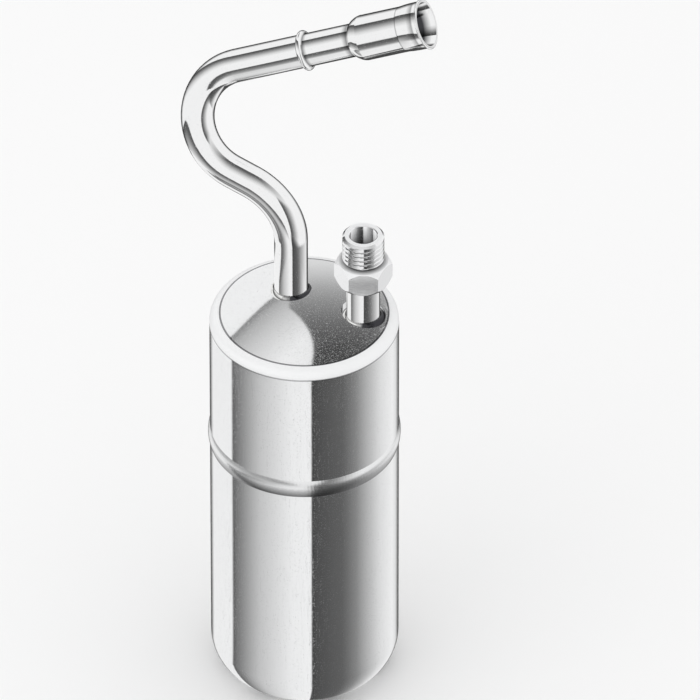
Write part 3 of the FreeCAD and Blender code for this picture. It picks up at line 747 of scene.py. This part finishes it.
def turned_aluminium(name, colour, axis, roughness, port=None, foot=None):
    """Machined aluminium: tool lines run round the axis, and faces square to it are matt.

    A port is the radius, mouth height and depth of a bore with shade painted darker inwards, and a
    foot the radius and height of a neck with shade painted on the face round it.
    """
    metal = Finish(bpy.data.materials.new(name))
    place = metal.node("ShaderNodeTexCoord", out="object")
    right, back, up = metal.parts(place)
    right = right - axis.x
    back = back - axis.y
    out = (right * right + back * back) ** 0.5
    around = metal.node("ShaderNodeCombineXYZ", None, out, 0.0, up)
    cuts = metal.node(
        "ShaderNodeTexNoise", None, around, scale=TOOL_LINES_PER_M, detail=2.0, roughness=0.7)
    specks = metal.node(
        "ShaderNodeTexNoise", None, place, scale=GRAIN_PER_M, detail=2.0, roughness=0.7)
    dull = metal.curve(specks * 0.6 + cuts * 0.4, *TURNED_SPECKS)
    upward = metal.parts(metal.node("ShaderNodeNewGeometry", out="normal"))[2]
    square = metal.curve(upward, *FACED_LEAN)
    worn = tuple(TURNED_WORN_LEVEL * part for part in colour)
    shade = metal.paint(colour, worn, dull)
    if port:
        radius, mouth, depth = port
        # Painted shade, darker down the port's bore
        inside = metal.curve(out, (radius, 1.0), (radius + PORT_MARGIN, 0.0))
        bore_shade = inside * metal.curve(mouth - up, (PORT_LIT_DEPTH, 0.0), (depth, 1.0))
        shade = metal.paint(shade, RECESS_SHADE_COLOUR, bore_shade)
        square = square * (1.0 - inside)
    if foot:
        radius, height = foot
        near = metal.curve(out, (radius, 1.0), (radius + FOOT_REACH, 0.0))
        low = metal.curve(up, *[(height + rise, level) for rise, level in FOOT_LEVELS])
        chamfer = metal.curve(up, *[(height + rise, level) for rise, level in CHAMFER_END])
        chamfer = chamfer * metal.curve(upward, *CHAMFER_LEAN)
        square = metal.node("ShaderNodeMath", {"operation": "MAXIMUM"}, square, chamfer)
        # Painted shadow round the nipple's foot
        shade = metal.paint(shade, RECESS_SHADE_COLOUR, near * low * 0.9)
    relief = metal.node(
        "ShaderNodeBump", None, strength=0.3, distance=TOOL_LINE_HEIGHT, height=cuts)
    rough = metal.blend(roughness + dull * 0.35, 0.45, square)
    metal.set(base_color=shade, metallic=1.0 - square * 0.8, roughness=rough, normal=relief)
    return metal.finish()


fitting = lathe_piece("threaded_fitting", fitting_axis, fitting_column, COLUMNS)
fitting.data.set_sharp_from_angle(angle=SHARP_ANGLE)
port = (PORT_RADIUS + PORT_MARGIN, fitting_high.z, PORT_DEPTH)
foot = (RELIEF_RADIUS, fitting_low.z + HEX_HEIGHT)
fitting.data.materials.append(turned_aluminium(
    "fitting_turned", FITTING_COLOUR, fitting_axis, FITTING_ROUGHNESS, port, foot))
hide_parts("outlet_fitting")
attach(fitting, "root")


# Deflector: a cup spun from aluminium sheet, which sits below the inlet on the
# outlet tube and throws the liquid to the wall. The roller leaves rings on it.
INNER_COLOUR = (0.80, 0.805, 0.81)
INNER_ROUGHNESS = 0.28
canister_axis = Vector((0, 0, 0))
dress("deflector", turned_aluminium("inner_spun", INNER_COLOUR, canister_axis, INNER_ROUGHNESS))


# Oil filter and tube spacer: black glass-filled nylon, moulded in spark-eroded
# tools that leave a fine matt grain and faint flow clouds.
NYLON_BLACK = (0.022, 0.022, 0.024)
NYLON_CLOUD = (0.045, 0.045, 0.048)
NYLON_ROUGHNESS = 0.42
CLOUDS_PER_M = 90.0
CLOUD_LEVELS = [(0.35, 0.0), (0.7, 1.0)]
PITS_PER_M = 2600.0
PIT_DEPTH = 0.00004


def moulded_nylon():
    """Black nylon: flow clouds under a spark-eroded grain."""
    nylon = Finish(bpy.data.materials.new("nylon_black"))
    place = nylon.node("ShaderNodeTexCoord", out="object")
    clouds = nylon.node(
        "ShaderNodeTexNoise", None, place, scale=CLOUDS_PER_M, detail=3.0, distortion=1.2)
    pits = nylon.node("ShaderNodeTexVoronoi", None, place, scale=PITS_PER_M)
    shade = nylon.paint(NYLON_BLACK, NYLON_CLOUD, nylon.curve(clouds, *CLOUD_LEVELS))
    relief = nylon.node("ShaderNodeBump", None, strength=0.4, distance=PIT_DEPTH, height=pits)
    nylon.set(base_color=shade, roughness=NYLON_ROUGHNESS + clouds * 0.12, normal=relief)
    return nylon.finish()


black_nylon = moulded_nylon()
for moulding in ("oil_filter_cage", "oil_filter_plug", "tube_spacer"):
    dress(moulding, black_nylon)


# Oil filter screen: a sleeve of plain-woven stainless wire, rolled up and
# spot-welded, that stands inside the cage's windows.
WIRE_PITCH = 0.00045
WIRE_COLOUR = (0.62, 0.61, 0.60)
WIRE_HEIGHT = 0.00015
WIRE_LEVELS = [(0.45, 0.0), (0.60, 1.0)]
HOLE_SHADE_COLOUR = (0.015, 0.015, 0.016)
screen_low, screen_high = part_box("oil_filter_screen")


def woven_wire():
    """Plain weave: wires along and round the sleeve that pass over and under each other."""
    metal = Finish(bpy.data.materials.new("wire_screen"))
    right, back, up = metal.parts(metal.node("ShaderNodeTexCoord", out="object"))
    centre = (screen_low + screen_high) / 2
    radius = (screen_high.x - screen_low.x) / 2
    bearing = metal.node(
        "ShaderNodeMath", {"operation": "ARCTAN2"}, back - centre.y, right - centre.x)
    around = bearing * radius
    step = math.pi / WIRE_PITCH
    warp = metal.node("ShaderNodeMath", {"operation": "SINE"}, around * step)
    weft = metal.node("ShaderNodeMath", {"operation": "SINE"}, up * step)
    over = metal.node("ShaderNodeMath", {"operation": "SIGN"}, warp * weft)
    warp_wire = metal.node("ShaderNodeMath", {"operation": "ABSOLUTE"}, warp) * (1.0 + over * 0.3)
    weft_wire = metal.node("ShaderNodeMath", {"operation": "ABSOLUTE"}, weft) * (1.0 - over * 0.3)
    top = metal.node("ShaderNodeMath", {"operation": "MAXIMUM"}, warp_wire, weft_wire)
    solid = metal.curve(top, *WIRE_LEVELS)
    # The gaps between the wires are painted near-black as shade seen through them
    shade = metal.paint(HOLE_SHADE_COLOUR, WIRE_COLOUR, solid)
    relief = metal.node("ShaderNodeBump", None, strength=1.0, distance=WIRE_HEIGHT, height=top)
    metal.set(base_color=shade, metallic=solid, roughness=0.55 - solid * 0.25, normal=relief)
    return metal.finish()


dress("oil_filter_screen", woven_wire())


# Desiccant bags: two pouches of needled polyester felt, sewn shut at both ends
# and filled with beads that show through. The ties hold them to the tube.
FELT_COLOUR = (0.80, 0.79, 0.74)
FELT_SHADE = (0.66, 0.65, 0.60)
FELT_LEVELS = [(0.36, 0.0), (0.62, 1.0)]
FELT_VOXEL = 0.0014
FELT_HEIGHT = 0.00022
FIBRES_PER_M = 2200.0
NEEDLES_PER_M = 900.0
CLUMPS_PER_M = 160.0
BEAD_SIZE = 0.0042
BEAD_RELIEF = 0.00045
BEAD_LEVEL = 0.45
BAG_SWELL = 0.0011
BAG_SAG = 0.0004
SAGS_PER_M = 60
# A tie holds the bag in this far above and below it, and leaves this share of the beads' relief
TIE_HOLD = 0.006
BEADS_UNDER_TIE = 0.35
END_TAPER = 0.0012
SEAM_REACH = 0.012
SEAM_HEIGHT = 0.0035
SEAM_TUCK = 0.0008
SEAM_HALF = 0.0011
SEAM_STEPS = 120
SEAM_CURL = 0.0012
CURLS_PER_M = 90
SEAM_WAVE = 0.0006
WAVES_PER_M = 230
STITCH_PITCH = 0.0032
STITCH_PINCH = 0.6
STITCH_HEIGHT = 0.45


def felt():
    """Needled felt: tangled fibres in soft clumps, with the dimples that the needles left."""
    cloth = Finish(bpy.data.materials.new("needled_felt"))
    place = cloth.node("ShaderNodeTexCoord", out="object")
    fibres = cloth.node(
        "ShaderNodeTexNoise", None, place, scale=FIBRES_PER_M, detail=4.0, roughness=0.8,
        distortion=2.5)
    needles = cloth.node("ShaderNodeTexVoronoi", None, place, scale=NEEDLES_PER_M)
    clumps = cloth.node("ShaderNodeTexNoise", None, place, scale=CLUMPS_PER_M, detail=3.0)
    tone = cloth.curve(fibres * 0.6 + clumps * 0.4, *FELT_LEVELS)
    shade = cloth.paint(FELT_SHADE, FELT_COLOUR, tone)
    relief = cloth.node(
        "ShaderNodeBump", None, strength=0.7, distance=FELT_HEIGHT, height=fibres + needles * 0.5)
    cloth.set(base_color=shade, roughness=0.92, normal=relief)
    cloth.set(sheen_weight=0.25, sheen_roughness=0.6)
    return cloth.finish()


def stuffed_bag(node, name, tie_heights):
    """The bag's solid as a stuffed pouch: beads press out and the ties hold it in."""
    bag = bpy.data.objects.new(name, nodes[node].data.copy())
    scene.collection.objects.link(bag)
    low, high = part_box(node)
    middle = (low + high) / 2
    remesh = bag.modifiers.new("even", "REMESH")
    remesh.mode = "VOXEL"
    remesh.voxel_size = FELT_VOXEL
    remeshed = bag.evaluated_get(bpy.context.evaluated_depsgraph_get())
    shaped = bpy.data.meshes.new_from_object(remeshed)
    bag.modifiers.clear()
    bag.data = shaped
    for vertex in shaped.vertices:
        place = vertex.co.copy()
        normal = vertex.normal.copy()
        free = min(min(abs(place.z - height) for height in tie_heights) / TIE_HOLD, 1.0)
        outward = max(Vector((place.x, place.y)).normalized().dot(normal.xy), 0.0)
        distance, _ = noise.voronoi(place / BEAD_SIZE)
        beads = (BEAD_LEVEL - distance[0]) * BEAD_RELIEF
        beads *= BEADS_UNDER_TIE + (1 - BEADS_UNDER_TIE) * free
        swell = BAG_SWELL * outward * free * free * (3 - 2 * free)
        sag = noise.noise(place * SAGS_PER_M) * BAG_SAG * free
        end = max(abs(place.z - middle.z) - (high.z - middle.z) + SEAM_REACH, 0.0) / SEAM_REACH
        taper = -end * end * END_TAPER
        vertex.co = place + normal * (beads + swell + sag + taper)
    shaped.shade_smooth()
    return bag


def end_seam(name, node, top):
    """Sewn end of a bag: both felts pressed into a thin fin with a row of stitches."""
    low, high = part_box(node)
    side = 1 if (low.y + high.y) > 0 else -1
    middle = Vector(((low.x + high.x) / 2, (low.y + high.y) / 2, high.z if top else low.z))
    up = 1 if top else -1
    half = (high.x - low.x) / 2 - SEAM_REACH
    stitched = SEAM_HEIGHT * STITCH_HEIGHT
    outline = [
        (-1, -SEAM_TUCK), (-1, stitched), (-1, SEAM_HEIGHT),
        (1, SEAM_HEIGHT), (1, stitched), (1, -SEAM_TUCK)]
    shape = bmesh.new()
    rows = []
    for step in range(SEAM_STEPS + 1):
        along = -half + 2 * half * step / SEAM_STEPS
        stitch = 0.5 + 0.5 * math.cos(2 * math.pi * along / STITCH_PITCH)
        curl = SEAM_CURL * math.sin(along * CURLS_PER_M + side)
        curl += SEAM_WAVE * math.sin(along * WAVES_PER_M)
        row = []
        for face, height in outline:
            pinch = 1 - STITCH_PINCH * stitch if height == stitched else 1.0
            across = face * SEAM_HALF * pinch + curl * height / SEAM_HEIGHT
            row.append(shape.verts.new(middle + Vector((along, across, up * height))))
        rows.append(row)
    for here, there in zip(rows, rows[1:]):
        skin(shape, here, there)
    shape.faces.new(rows[0])
    shape.faces.new(list(reversed(rows[-1])))
    return mesh_piece(name, shape)


felt_cloth = felt()
ties = ("bag_tie_lower", "bag_tie_upper")
tie_heights = [(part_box(tie)[0].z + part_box(tie)[1].z) / 2 for tie in ties]
for node in ("desiccant_bag_rear", "desiccant_bag_front"):
    bag = stuffed_bag(node, node.replace("desiccant_bag", "felt_bag"), tie_heights)
    bag.data.materials.clear()
    bag.data.materials.append(felt_cloth)
    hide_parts(node)
    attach(bag, "root")
    for top in (True, False):
        fin = end_seam(bag.name + ("_top_seam" if top else "_bottom_seam"), node, top)
        fin.data.materials.append(felt_cloth)
        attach(fin, "root")


# Bag ties: natural nylon cable ties, with ratchet teeth across the strap and a
# locking head. Each is drawn tight round both bags.
TIE_COLOUR = (0.78, 0.76, 0.70)
TIE_CLOUD = (0.86, 0.85, 0.80)
TIE_CLOUDS_PER_M = 220.0
TOOTH_PITCH = 0.0013
TOOTH_HEIGHT = 0.0002


def tie_nylon():
    """Natural nylon: milky clouds, with ratchet teeth round the strap."""
    nylon = Finish(bpy.data.materials.new("tie_nylon"))
    place = nylon.node("ShaderNodeTexCoord", out="object")
    right, back, _ = nylon.parts(place)
    low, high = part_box("bag_tie_lower")
    bearing = nylon.node("ShaderNodeMath", {"operation": "ARCTAN2"}, back, right)
    around = bearing * (high.x - low.x) / 2
    teeth = nylon.node("ShaderNodeMath", {"operation": "FRACT"}, around / TOOTH_PITCH)
    clouds = nylon.node("ShaderNodeTexNoise", None, place, scale=TIE_CLOUDS_PER_M, detail=2.0)
    shade = nylon.paint(TIE_COLOUR, TIE_CLOUD, clouds)
    relief = nylon.node("ShaderNodeBump", None, strength=0.8, distance=TOOTH_HEIGHT, height=teeth)
    nylon.set(base_color=shade, roughness=0.38 + clouds * 0.1, normal=relief, subsurface_weight=0.1)
    return nylon.finish()


natural_nylon = tie_nylon()
for tie in ties:
    dress(tie, natural_nylon)


# Reflections: as in a catalogue plate, each piece mirrors only the studio's
# floor and screens, and not its neighbours.
for piece in scene.objects:
    if piece.type == "MESH" and piece != floor:
        piece.visible_glossy = False
